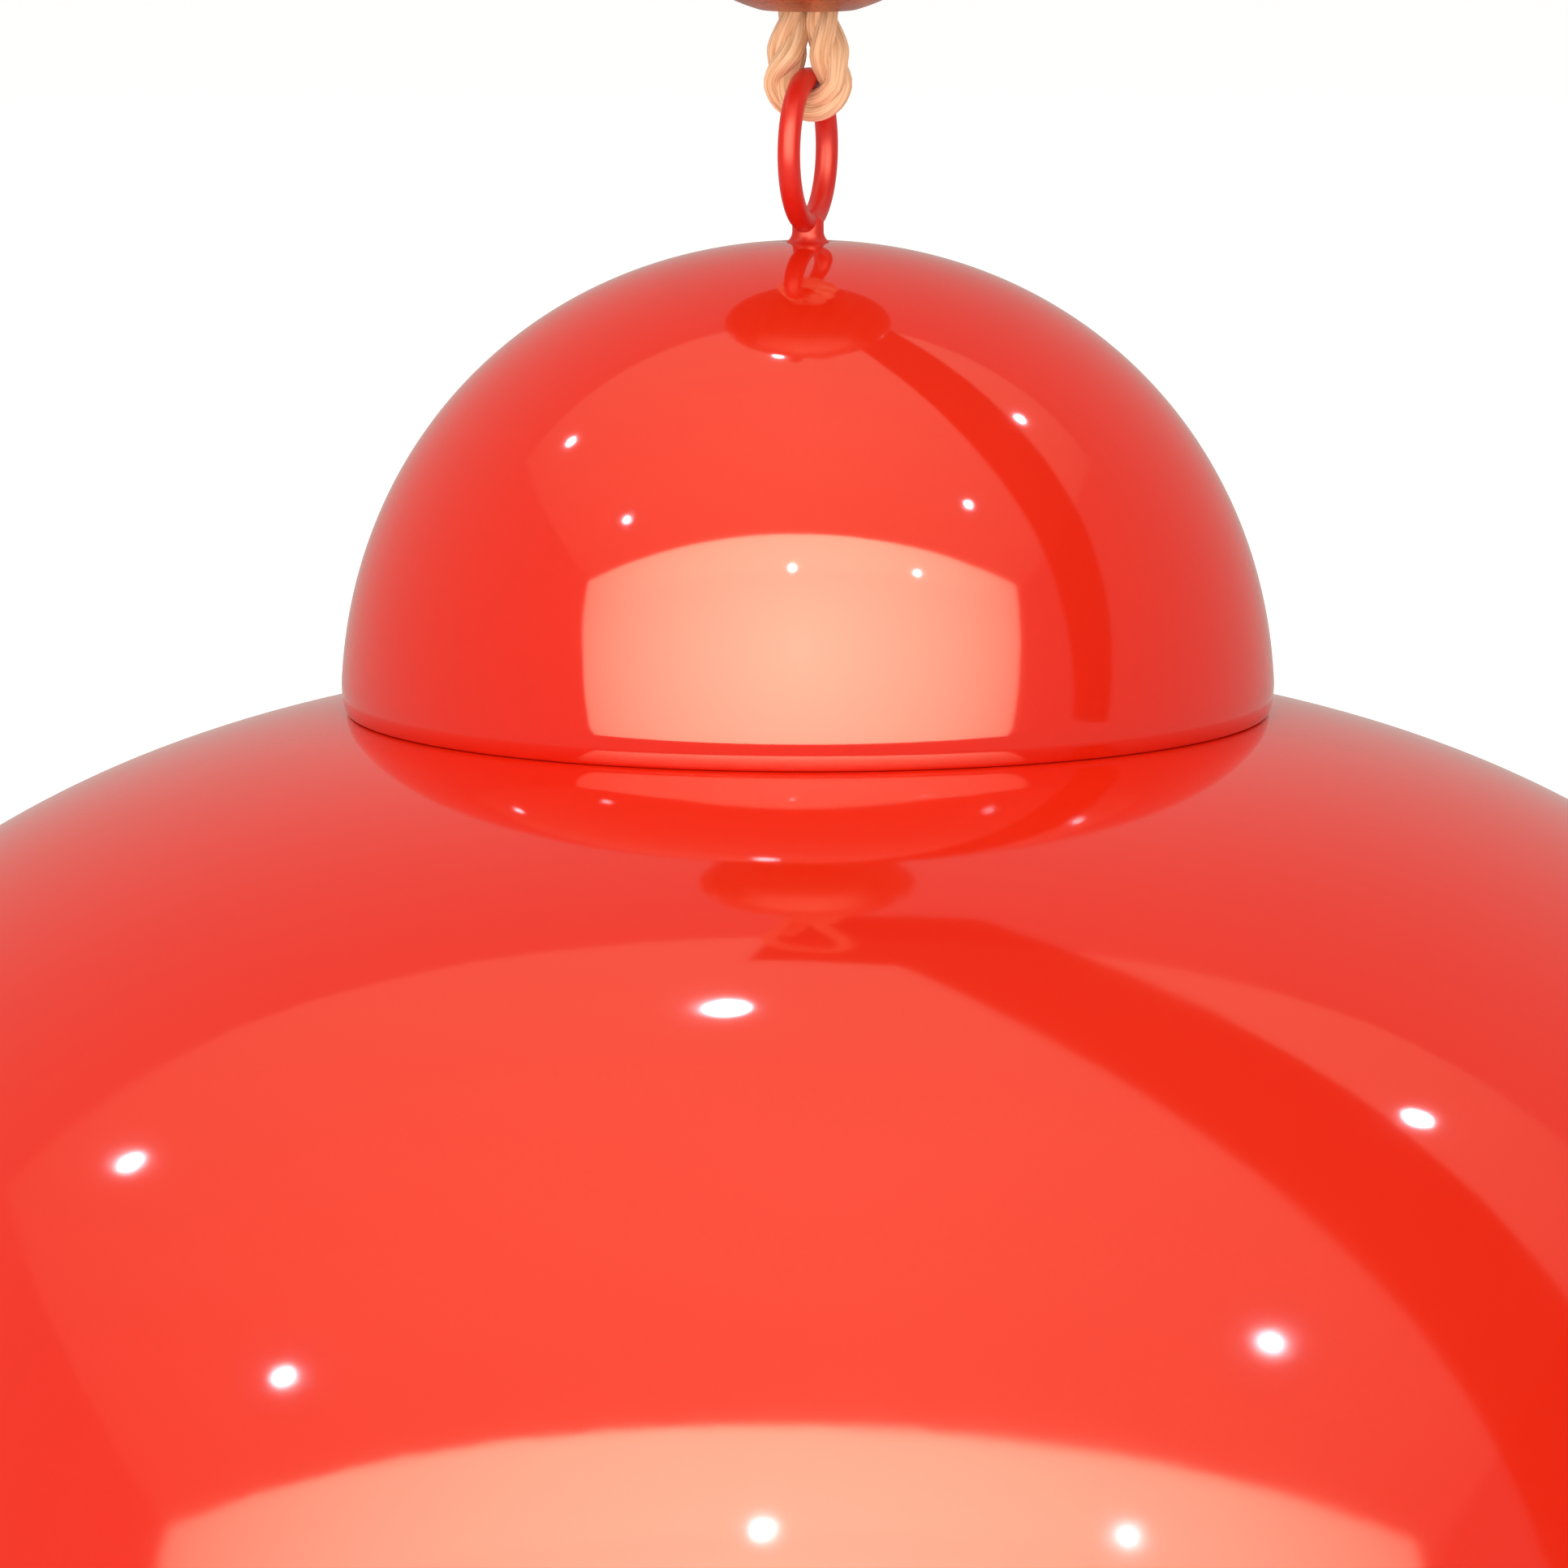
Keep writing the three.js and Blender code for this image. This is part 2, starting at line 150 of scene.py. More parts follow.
# %% Grid to mesh
def mesh_from_grids(name, grids, materials, wrap_rows=False, row_material=None, flat=False):
    """One object from several grids of points, each of shape (rows, columns, 3).

    A quad joins point (i, j) to (i, j+1), (i+1, j+1) and (i+1, j). Columns always close on
    themselves. Rows close too when wrap_rows is true, and otherwise each end gets one flat face.
    The volume, summed as a . (b x c) over the faces, is negative where the faces look inwards.
    """
    points, quads, caps, uvs, cap_uvs, slots = [], [], [], [], [], []
    start = 0
    for grid in grids:
        grid = np.asarray(grid, dtype=np.float64)
        rows, columns = grid.shape[:2]
        spans = rows if wrap_rows else rows - 1
        i, j = np.meshgrid(np.arange(spans), np.arange(columns), indexing="ij")
        i_next, j_next = (i + 1) % rows, (j + 1) % columns
        corners = [i * columns + j, i * columns + j_next, i_next * columns + j_next, i_next * columns + j]
        quad = np.stack(corners, axis=-1).reshape(-1, 4)
        steps = np.linalg.norm(np.diff(grid.mean(axis=1), axis=0), axis=1)
        if wrap_rows:
            steps = np.linalg.norm(np.diff(grid[:, 0], axis=0), axis=1)
        along = np.concatenate([[0.0], np.cumsum(steps), [np.sum(steps)]])
        u0, u1 = j / columns, (j + 1) / columns
        v0, v1 = along[i], along[i + 1]
        uv = np.stack([u0, v0, u1, v0, u1, v1, u0, v1], axis=-1).reshape(-1, 4, 2)
        a, b, c, d = (grid.reshape(-1, 3)[quad[:, k]] for k in range(4))
        volume = np.einsum("ij,ij->", a, np.cross(b, c)) + np.einsum("ij,ij->", a, np.cross(c, d))
        ends = [np.arange(columns)[::-1], (rows - 1) * columns + np.arange(columns)]
        if not wrap_rows:
            for end in ends:
                ring = grid.reshape(-1, 3)[end]
                hub = ring.mean(axis=0)
                volume += np.sum(np.cross(ring, np.roll(ring, -1, axis=0)) @ hub)
        if volume < 0:
            quad, uv = quad[:, ::-1], uv[:, ::-1]
            ends = [end[::-1] for end in ends]
        points.append(grid.reshape(-1, 3))
        quads.append(quad + start)
        uvs.append(uv.reshape(-1, 2))
        slots.append(
            np.zeros(len(quad), int) if row_material is None else np.asarray(row_material)[i.ravel()])
        if not wrap_rows:
            caps += [(end + start).tolist() for end in ends]
            cap_uvs.append(np.zeros((2 * columns, 2)))
        start += rows * columns
    quads, slots = np.concatenate(quads), np.concatenate(slots + [np.zeros(len(caps), int)])
    mesh = bpy.data.meshes.new(name)
    mesh.from_pydata(np.concatenate(points).tolist(), [], quads.tolist() + caps)
    layer = mesh.uv_layers.new(name="UVMap")
    layer.data.foreach_set("uv", np.concatenate(uvs + cap_uvs).ravel().astype(np.float32))
    mesh.polygons.foreach_set("use_smooth", np.full(len(mesh.polygons), not flat))
    for material in materials:
        mesh.materials.append(material)
    mesh.polygons.foreach_set("material_index", slots.astype(np.int32))
    mesh.update()
    piece = bpy.data.objects.new(name, mesh)
    bpy.context.collection.objects.link(piece)
    return piece


def turned_grid(profile, sides):
    """A profile of (radius, height) points turned round the Z axis: x = r cos a, y = r sin a."""
    profile = np.asarray(profile)
    angle = 2 * np.pi * np.arange(sides) / sides
    radius, height = profile[:, :1], profile[:, 1:]
    return np.stack([radius * np.cos(angle), radius * np.sin(angle), height + 0 * angle], axis=-1)


def arc(centre, radius, start, stop, count):
    """Points on a circular arc in the (radius, height) plane, angles in degrees from the +r axis."""
    angle = np.radians(np.linspace(start, stop, count))
    return np.stack([centre[0] + radius * np.cos(angle), centre[1] + radius * np.sin(angle)], axis=-1)


# %% [markdown]
# ## Finishes
#
# A finish starts from what the real one is. One function turns a paint chart's sRGB hex into
# the linear colour that Blender mixes with, and one adds a node with its settings and links.


# %% Node helpers
def hex_colour(code):
    """Linear RGBA of an sRGB hex colour: the standard curve, ((c + 0.055) / 1.055) ** 2.4."""
    srgb = np.array([int(code[k : k + 2], 16) for k in (1, 3, 5)]) / 255
    linear = np.where(srgb <= 0.04045, srgb / 12.92, ((srgb + 0.055) / 1.055) ** 2.4)
    return (*linear.tolist(), 1.0)


def add_node(tree, kind, links=None, values=None, **settings):
    """Adds one node: settings are its properties, values its sockets, links socket: output."""
    node = tree.nodes.new(kind)
    for key, value in settings.items():
        setattr(node, key, value)
    for key, value in (values or {}).items():
        node.inputs[key].default_value = value
    for key, output in (links or {}).items():
        tree.links.new(output, node.inputs[key])
    return node


def new_material(name):
    """An empty node material and its tree with only an output node."""
    material = bpy.data.materials.new(name)
    material.use_nodes = True
    tree = material.node_tree
    tree.nodes.clear()
    return material, tree


def finish_material(tree, shader):
    """Links the shader to a new output node."""
    add_node(tree, "ShaderNodeOutputMaterial", {"Surface": shader.outputs[0]})


# %% [markdown]
# ### Red enamel
#
# Stoving enamel is a thick, self-levelling gloss paint. It is nearly a mirror, so its look is
# mostly what it reflects, and the eye sees paint only in the faint orange peel that wavers the
# reflections, a few millimetres from crest to crest, and in the odd speck of dust under it.


# %% Enamel
def enamel(name, colour, roughness, peel_strength, specular=0.5):
    """Gloss enamel: one deep colour, orange peel 6 mm across and a little haze on the gloss."""
    material, tree = new_material(name)
    place = add_node(tree, "ShaderNodeTexCoord").outputs["Object"]
    peel = add_node(tree, "ShaderNodeTexNoise", {"Vector": place}, {"Scale": 1 / 0.006, "Detail": 2.0})
    haze = add_node(tree, "ShaderNodeTexNoise", {"Vector": place}, {"Scale": 1 / 0.05, "Detail": 4.0})
    rough = add_node(
        tree, "ShaderNodeMapRange", {"Value": haze.outputs[0]},
        {"From Min": 0.3, "From Max": 0.7, "To Min": 0.7 * roughness, "To Max": 1.4 * roughness})
    tint = add_node(tree, "ShaderNodeMix", {"Factor": haze.outputs[0]}, data_type="RGBA")
    tint.inputs["A"].default_value = hex_colour(colour[0])
    tint.inputs["B"].default_value = hex_colour(colour[1])
    bump = add_node(
        tree, "ShaderNodeBump", {"Height": peel.outputs[0]}, {"Strength": peel_strength, "Distance": 0.0004})
    shader = add_node(
        tree, "ShaderNodeBsdfPrincipled",
        {"Base Color": tint.outputs["Result"], "Roughness": rough.outputs[0], "Normal": bump.outputs[0]},
        {"IOR": 1.5, "Specular IOR Level": specular})
    finish_material(tree, shader)
    return material


gloss_enamel = enamel("red stoving enamel", ("#C8200B", "#CB240E"), 0.065, 0.02)
satin_enamel = enamel("red enamel, satin on the wire", ("#C0190D", "#C81E11"), 0.42, 0.06, specular=0.3)
inner_enamel = enamel("red enamel, thin inner coat", ("#C2160D", "#A8140C"), 0.35, 0.2)

# %% [markdown]
# ### Jute
#
# Jute is a coarse, pale plant fibre. Three strands are laid up into the rope, and each strand
# is a bundle of fine fibres that run along it. The fibres are drawn as streaks along the UV
# map's V axis: fine across, long along. Jute is dull, with a soft pale sheen at grazing angles.


# %% Jute rope
def jute_fibre():
    """Fibre streaks 0.25 mm wide and 6 mm long, in colour and in bump."""
    material, tree = new_material("jute rope")
    uv = add_node(tree, "ShaderNodeTexCoord").outputs["UV"]
    streak_place = add_node(tree, "ShaderNodeMapping", {"Vector": uv}, {"Scale": (30.0, 160.0, 1.0)})
    streak = add_node(
        tree, "ShaderNodeTexNoise", {"Vector": streak_place.outputs[0]}, {"Scale": 1.0, "Detail": 5.0})
    patch_place = add_node(tree, "ShaderNodeTexCoord").outputs["Object"]
    patch = add_node(tree, "ShaderNodeTexNoise", {"Vector": patch_place}, {"Scale": 1 / 0.004, "Detail": 3.0})
    ramp = add_node(tree, "ShaderNodeValToRGB", {"Fac": streak.outputs[0]})
    ramp.color_ramp.elements[0].position = 0.3
    ramp.color_ramp.elements[0].color = hex_colour("#BE9268")
    ramp.color_ramp.elements[1].position = 0.62
    ramp.color_ramp.elements[1].color = hex_colour("#EFD0B0")
    blend = add_node(
        tree, "ShaderNodeMix", {"Factor": patch.outputs[0], "A": ramp.outputs[0]},
        data_type="RGBA", blend_type="MULTIPLY")
    blend.inputs["B"].default_value = hex_colour("#F6E4CF")
    bump = add_node(
        tree, "ShaderNodeBump", {"Height": streak.outputs[0]}, {"Strength": 0.55, "Distance": 0.0003})
    shader = add_node(
        tree, "ShaderNodeBsdfPrincipled", {"Base Color": blend.outputs["Result"], "Normal": bump.outputs[0]},
        {"Roughness": 0.92, "IOR": 1.5, "Specular IOR Level": 0.2,
         "Sheen Weight": 0.25, "Sheen Roughness": 0.5})
    finish_material(tree, shader)
    return material


jute = jute_fibre()

# %% [markdown]
# ### Stained beech
#
# The bead and the clapper's ball are turned from beech, stained reddish brown and varnished.
# The stain sinks deeper into the open grain, which shows as fine dark lines along the wood,
# and broad bands follow the tree's rings.


# %% Stained wood
def stained_beech():
    """Growth rings as distorted bands 5 mm apart, pores as short dark streaks along Z."""
    material, tree = new_material("stained beech, satin varnish")
    place = add_node(tree, "ShaderNodeTexCoord").outputs["Object"]
    stretched = add_node(tree, "ShaderNodeMapping", {"Vector": place}, {"Scale": (1.0, 0.35, 0.12)})
    rings = add_node(
        tree, "ShaderNodeTexWave", {"Vector": stretched.outputs[0]},
        {"Scale": 0.35 / 0.005, "Distortion": 7.0, "Detail": 4.0, "Detail Scale": 1.6}, bands_direction="X")
    pore_place = add_node(
        tree, "ShaderNodeMapping", {"Vector": place}, {"Scale": (1 / 0.0005, 1 / 0.0005, 1 / 0.008)})
    pores = add_node(
        tree, "ShaderNodeTexNoise", {"Vector": pore_place.outputs[0]}, {"Scale": 1.0, "Detail": 2.0})
    ring_colour = add_node(tree, "ShaderNodeValToRGB", {"Fac": rings.outputs[1]})
    ring_colour.color_ramp.elements[0].color = hex_colour("#86411F")
    ring_colour.color_ramp.elements[1].color = hex_colour("#9D532B")
    pore_mask = add_node(
        tree, "ShaderNodeMapRange", {"Value": pores.outputs[0]},
        {"From Min": 0.36, "From Max": 0.5, "To Min": 0.55, "To Max": 0.0})
    mix = add_node(
        tree, "ShaderNodeMix", {"Factor": pore_mask.outputs[0], "A": ring_colour.outputs[0]},
        data_type="RGBA")
    mix.inputs["B"].default_value = hex_colour("#552510")
    bump = add_node(
        tree, "ShaderNodeBump", {"Height": pores.outputs[0]}, {"Strength": 0.25, "Distance": 0.0002})
    shader = add_node(
        tree, "ShaderNodeBsdfPrincipled", {"Base Color": mix.outputs["Result"], "Normal": bump.outputs[0]},
        {"Roughness": 0.42, "IOR": 1.5, "Coat Weight": 0.35, "Coat Roughness": 0.2})
    finish_material(tree, shader)
    return material


stained_wood = stained_beech()

# %% [markdown]
# ### Zinc plate
#
# Nuts, washers and wire parts are bright zinc plated steel: a metal whose gloss is broken by a
# fine crystalline mottle and by the drawing marks of the wire.


# %% Zinc plate
def zinc_plate():
    """Plated steel: roughness mottled 2 mm across and a slight bluish tint."""
    material, tree = new_material("zinc plated steel")
    place = add_node(tree, "ShaderNodeTexCoord").outputs["Object"]
    mottle = add_node(tree, "ShaderNodeTexNoise", {"Vector": place}, {"Scale": 1 / 0.002, "Detail": 4.0})
    rough = add_node(
        tree, "ShaderNodeMapRange", {"Value": mottle.outputs[0]},
        {"From Min": 0.3, "From Max": 0.7, "To Min": 0.22, "To Max": 0.42})
    tint = add_node(tree, "ShaderNodeMix", {"Factor": mottle.outputs[0]}, data_type="RGBA")
    tint.inputs["A"].default_value = hex_colour("#C3C7CC")
    tint.inputs["B"].default_value = hex_colour("#DADCDF")
    shader = add_node(
        tree, "ShaderNodeBsdfPrincipled",
        {"Base Color": tint.outputs["Result"], "Roughness": rough.outputs[0]}, {"Metallic": 1.0})
    finish_material(tree, shader)
    return material


zinc = zinc_plate()
print("finishes:", ", ".join(m.name for m in (gloss_enamel, inner_enamel, jute, stained_wood, zinc)))

# %% [markdown]
# ## The bell
#
# The bell is spun from a flat disc of sheet steel over a wooden form. Its shoulder follows a
# superellipse, squarer than a circle; below it the waist runs down almost straight and flares
# into the lip, whose edge is rolled over a wire so that it can't cut or dent. A profile of
# (radius, height) points is the whole shape: the outer face, the rolled lip, and the inner
# face one sheet's thickness away.

# %% Bell profile
shoulder_height = 182.0 * mm
shoulder_power = 2.7
lip_flare = 24.0 * mm
waist_inset = 3.5 * mm
shoulder_radius = lip_radius - lip_flare
lip_roll = 1.8 * mm
shank_hole = 2.3 * mm


def superellipse(radius, half_width, height, power):
    """Height over the base: h (1 - (r / w) ** p) ** (1 / p)."""
    return height * np.clip(1 - (radius / half_width) ** power, 0, None) ** (1 / power)


shoulder_base = cap_rim - gap - superellipse(cap_radius, shoulder_radius, shoulder_height, shoulder_power)


def shoulder_at(radius):
    """Height of the bell's outer shoulder at a radius."""
    return shoulder_base + superellipse(radius, shoulder_radius, shoulder_height, shoulder_power)


def bell_outer():
    """Shoulder in equal steps of the superellipse's own angle, then a Bezier waist to the lip."""
    start = shoulder_radius - waist_inset
    start_z = shoulder_at(start)
    last = np.arcsin((start / shoulder_radius) ** (shoulder_power / 2))
    angle = np.linspace(0, last, 90)[:-1]
    radius = np.maximum(shoulder_radius * np.sin(angle) ** (2 / shoulder_power), shank_hole)
    keep = np.concatenate([[True], np.diff(radius) > 1e-7])
    shoulder = np.stack([radius, shoulder_at(radius)], axis=-1)[keep]
    rise = (start_z - shoulder_base) / shoulder_height
    slope = (shoulder_height / shoulder_radius) * (start / shoulder_radius / rise) ** (shoulder_power - 1)
    pull = 50.0 * mm / np.hypot(1, slope)
    lip_top = lip_height + 2.4 * mm
    ends = np.array([[start, start_z], [start + pull, start_z - slope * pull],
                     [lip_radius - 19 * mm, lip_top + 26 * mm], [lip_radius, lip_top]])
    t = np.linspace(0, 1, 80)[:, None]
    rest = 1 - t
    waist = rest**3 * ends[0] + 3 * t * rest**2 * ends[1] + 3 * t**2 * rest * ends[2] + t**3 * ends[3]
    return np.concatenate([shoulder, waist])


def moved_in(profile, distance):
    """The profile moved to its inner side by a distance, along its own normals."""
    along = np.gradient(profile, axis=0)
    along /= np.linalg.norm(along, axis=1, keepdims=True)
    return profile + distance * np.stack([along[:, 1], -along[:, 0]], axis=-1)


outer = bell_outer()
roll_centre = np.array([lip_radius - lip_roll, lip_height + lip_roll])
outer = outer[outer[:, 1] > lip_height + 2.4 * lip_roll]
outer = outer[outer[:, 0] < lip_radius - 0.3 * lip_roll]
inner = moved_in(outer, wall)
inner[0, 0] = outer[0, 0] = shank_hole
roll = arc(roll_centre, lip_roll, 25, -200, 26)
bell_profile = np.concatenate([outer, roll, inner[::-1]])
inside_rows = np.arange(len(bell_profile)) >= len(outer) + len(roll)
bell_piece = mesh_from_grids(
    "bell_enamelled", [turned_grid(bell_profile, 256)], [gloss_enamel, inner_enamel], wrap_rows=True,
    row_material=inside_rows.astype(int))
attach(bell_piece, "bell")
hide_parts("bell_shell")
print(f"bell: {len(bell_piece.data.polygons)} faces, shoulder {2000 * shoulder_radius:.0f} mm across")

# %% [markdown]
# ## The cap
#
# The cap is a second, smaller spinning: very nearly half a ball, a touch squarer than a circle.
# Its edge is turned under a little, so that it sits on the bell's crown with a rounded rim, and
# a hairline between the two stays open.

# %% Cap
cap_power = 2.07
rim_turn_in = 0.8 * mm
rim_turn_height = 2.5 * mm
hairline = 0.06 * mm


def cap_face(inset):
    """One face of the cap: a superellipse, then a quarter ellipse that turns the edge under."""
    half_width, height = cap_radius - inset, cap_height - inset
    first = np.arcsin(shank_hole / half_width)
    radius = half_width * np.sin(np.linspace(first, np.pi / 2, 110)) ** (2 / cap_power)
    radius[0] = shank_hole
    rise = superellipse(radius, half_width, height, cap_power)
    dome = np.stack([radius, cap_rim + rise], axis=-1)[rise > rim_turn_height]
    edge = half_width - rim_turn_in
    edge_height = shoulder_at(edge) + hairline
    turn = np.linspace(0, np.pi / 2, 10)[1:, None]
    turned_under = np.hstack([np.cos(turn), 1 - np.sin(turn)])
    under = [edge, edge_height] + (dome[-1] - [edge, edge_height]) * turned_under
    return np.concatenate([dome, under])


cap_outer = cap_face(0.0)
cap_inner = cap_face(wall)
cap_profile = np.concatenate([cap_outer, cap_inner[::-1]])
cap_inside = np.arange(len(cap_profile)) >= len(cap_outer)
cap_piece = mesh_from_grids(
    "cap_enamelled", [turned_grid(cap_profile, 192)], [gloss_enamel, inner_enamel], wrap_rows=True,
    row_material=cap_inside.astype(int))
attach(cap_piece, "bell")
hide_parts("cap_dome")
print(f"cap: {len(cap_piece.data.polygons)} faces, {2000 * cap_radius:.0f} mm across")

# %% [markdown]
# ## Round wire and rope, carried along a path
#
# A wire is a circle carried along a path. At each point of the path two directions stand across
# it, a normal and a binormal, and the circle is drawn in them. A rope is the same idea twice:
# three strands circle round the rope's path, and each strand is a circle round its own path.


# %% Paths and tubes
def smooth_path(points, step):
    """A Catmull-Rom curve through the points, resampled to equal steps along its length."""
    points = np.asarray(points, dtype=float)
    padded = np.concatenate([[2 * points[0] - points[1]], points, [2 * points[-1] - points[-2]]])
    t = np.linspace(0, 1, 24, endpoint=False)[None, :, None]
    p0, p1, p2, p3 = (padded[k : len(padded) - 3 + k][:, None] for k in range(4))
    square_term = 2 * p0 - 5 * p1 + 4 * p2 - p3
    cube_term = 3 * p1 - p0 - 3 * p2 + p3
    curve = 0.5 * (2 * p1 + (p2 - p0) * t + square_term * t**2 + cube_term * t**3)
    curve = np.concatenate([curve.reshape(-1, 3), points[-1:]])
    length = np.concatenate([[0], np.cumsum(np.linalg.norm(np.diff(curve, axis=0), axis=1))])
    places = np.linspace(0, length[-1], max(int(round(length[-1] / step)), 4) + 1)
    return np.stack([np.interp(places, length, curve[:, k]) for k in range(3)], axis=-1)


def frames_along(path, normal):
    """Tangent, normal and binormal at every point; the normal given is squared up to the path."""
    tangent = np.gradient(path, axis=0)
    tangent /= np.linalg.norm(tangent, axis=1, keepdims=True)
    across = np.broadcast_to(np.asarray(normal, dtype=float), path.shape)
    across = across - np.sum(across * tangent, axis=1, keepdims=True) * tangent
    across = across / np.linalg.norm(across, axis=1, keepdims=True)
    return tangent, across, np.cross(tangent, across)


def tube_grid(path, radius, normal, sides, flatten=1.0):
    """Circles of the given radius across the path; flatten scales them along the binormal."""
    _, across, other = frames_along(path, normal)
    angle = 2 * np.pi * np.arange(sides) / sides
    radius = np.broadcast_to(radius, len(path))[:, None, None]
    squeeze = np.broadcast_to(flatten, len(path))[:, None, None]
    ring = across[:, None] * np.cos(angle)[:, None] + squeeze * other[:, None] * np.sin(angle)[:, None]
    return path[:, None] + radius * ring


def path_length(path):
    """Length of a path of points."""
    return float(np.sum(np.linalg.norm(np.diff(path, axis=0), axis=1)))


def rope_grids(path, radius, normal, turn_start=0.0, flatten=1.0, open_end=None):
    """Three strands laid round a path: strand k circles it at angle 2 pi (k / 3 + s / pitch).

    flatten squeezes the whole lay along the binormal. open_end, if given, holds a factor for
    every point by which the strands spread away from the path, as at a cut end.
    """
    strands = 3
    pitch = 16.0 * mm
    _, across, other = frames_along(path, normal)
    s = np.concatenate([[0], np.cumsum(np.linalg.norm(np.diff(path, axis=0), axis=1))])
    radius = np.broadcast_to(radius, len(path))
    squeeze = np.broadcast_to(flatten, len(path))[:, None]
    spread = np.ones(len(path)) if open_end is None else open_end
    grids = []
    for k in range(strands):
        turn = turn_start + 2 * np.pi * (k / strands + s / pitch)
        reach = (0.44 * radius * spread)[:, None]
        centre = path + reach * (across * np.cos(turn)[:, None] + squeeze * other * np.sin(turn)[:, None])
        grids.append(tube_grid(centre, 0.58 * radius, across, 16, flatten=squeeze[:, 0]))
    return grids


# %% [markdown]
# ## The rope
#
# One length of 4.4 mm jute rope does all the work. It runs through the eye in a tight bend, its
# two legs share the bead's bore, where they are squeezed thin, a wrapped knot binds them above
# the bead, and the slack makes the loop that goes over a hook. It is held taut by the bell's
# weight. It turns and sways where the bell does, so it is built in four stretches that meet
# out of sight, inside the bead and inside the knot.

# %% Rope routes
knot_top = high("rope_knot")[2]
knot_bottom = low("rope_knot")[2]
bead_mouth = low("wooden_bead")[2]
loop_height = 46.0 * mm
loop_half_width = 10.5 * mm
leg_spread = rope_radius + 0.5 * gap
squeezed_spread = 1.7 * mm
rope_step = 0.5 * mm
into_knot = 4.5 * mm
side_ways = np.array([0.0, 1.0, 0.0])


def mirrored(points):
    """The points, then the same points mirrored in X and taken backwards, without the middle twice."""
    points = np.asarray(points)
    back = points[::-1] * np.array([-1.0, 1.0, 1.0])
    return np.concatenate([points, back[1:] if abs(points[-1, 0]) < 1e-9 else back])


loop_route = mirrored([
    [-1.7 * mm, 0, knot_top - into_knot],
    [-2.1 * mm, 0, knot_top - 1 * mm],
    [-leg_spread, 0, -loop_height + 3 * mm],
    [-0.42 * loop_half_width, 0, -0.76 * loop_height],
    [-0.8 * loop_half_width, 0, -0.52 * loop_height],
    [-loop_half_width, 0, -0.24 * loop_height],
    [-0.74 * loop_half_width, 0, -0.04 * loop_height],
    [0, 0, rope_radius],
])
loop_path = smooth_path(loop_route, rope_step)
loop_radius = rope_radius * np.clip(0.8 + 0.2 * (loop_path[:, 2] - knot_top) / (4 * mm), 0.8, 0.97)
hanging_loop = mesh_from_grids("rope_hanging_loop", rope_grids(loop_path, loop_radius, side_ways), [jute])
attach(hanging_loop, "hanger")
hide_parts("hanging_loop")

leg_end = bead_mouth + 12 * mm
for side, word in ((-1, "left"), (1, "right")):
    leg_path = smooth_path([
        [side * 1.7 * mm, 0, knot_bottom + into_knot],
        [side * 1.9 * mm, 0, knot_bottom + 0.5 * mm],
        [side * (squeezed_spread + 0.25 * mm), 0, knot_bottom - 3 * mm],
        [side * squeezed_spread, 0, knot_bottom - 8 * mm],
        [side * squeezed_spread, 0, leg_end],
    ], rope_step)
    leg_radius = np.interp(-leg_path[:, 2], -knot_bottom + np.array([-1, 3, 8]) * mm,
                           np.array([1.85, 2.05, 1.85]) * mm)
    leg = mesh_from_grids(f"rope_leg_{word}_jute", rope_grids(leg_path, leg_radius, side_ways, side), [jute])
    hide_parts(f"rope_leg_{word}")
    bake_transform(leg)
    print(f"rope leg {word}: {1000 * path_length(leg_path):.0f} mm")

# %% [markdown]
# The bend through the eye carries the whole bell, so the rope lies hard against the wire and
# is pressed flat there. Above the wire the two legs close up again to enter the bead.

# %% The bend through the eye
full_radius = 2.4 * mm
bend_flatten = 0.78
bend_radius = wire_radius + bend_flatten * full_radius
bend_angle = np.linspace(0, np.pi / 2, 6)
bend = np.stack([-bend_radius * np.cos(bend_angle), 0 * bend_angle,
                 eye_top_wire - bend_radius * np.sin(bend_angle)], axis=-1)
bight_route = mirrored(np.concatenate([[
    [-squeezed_spread, 0, leg_end - 0.6 * mm],
    [-squeezed_spread, 0, bead_mouth + 5 * mm],
    [-squeezed_spread, 0, bead_mouth],
    [-1.85 * mm, 0, bead_mouth - 1.7 * mm],
    [-2.28 * mm, 0, bead_mouth - 4.3 * mm],
], bend]))
bight_path = smooth_path(bight_route, rope_step)
depth = bead_mouth - bight_path[:, 2]
bight_radius = np.interp(depth, np.array([0, 1.7, 4.5]) * mm, np.array([1.8, 2.0, 2.4]) * mm)
bight_flatten = np.interp(depth, np.array([4.3, 7.2]) * mm, [1.0, bend_flatten])
bight_grids = rope_grids(bight_path, bight_radius, side_ways, 0.6, bight_flatten)
bight = mesh_from_grids("rope_bight_jute", bight_grids, [jute])
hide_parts("eye_bight")
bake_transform(bight)
print(f"bend through the eye: {1000 * path_length(bight_path):.0f} mm of rope")

# %% [markdown]
# The knot is a wrapped knot: the rope's own end is wound in turns round the two legs and
# drawn tight. A helix whose ends dive into the core gives it. Two tails hang out to the sides,
# and their cut ends fan open because nothing holds the strands together there.

# %% Knot and tails
knot_turns = 2.35
t = np.linspace(0, 1, 190)
dive = np.clip(np.minimum(t, 1 - t) / 0.09, 0, 1)
dive = 0.42 + 0.58 * dive * dive * (3 - 2 * dive)
knot_angle = 2 * np.pi * knot_turns * t + 0.8
knot_inset = rope_radius + 0.1 * mm
knot_centre = np.stack([
    5.6 * mm * dive * np.cos(knot_angle),
    4.9 * mm * dive * np.sin(knot_angle),
    knot_bottom + knot_inset + (knot_top - knot_bottom - 2 * knot_inset) * t,
], axis=-1)
outwards = np.stack([np.cos(knot_angle), np.sin(knot_angle), 0 * t], axis=-1)
knot = mesh_from_grids("rope_knot_wrapped", rope_grids(knot_centre, 0.98 * rope_radius, outwards), [jute])
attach(knot, "hanger")
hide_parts("rope_knot")

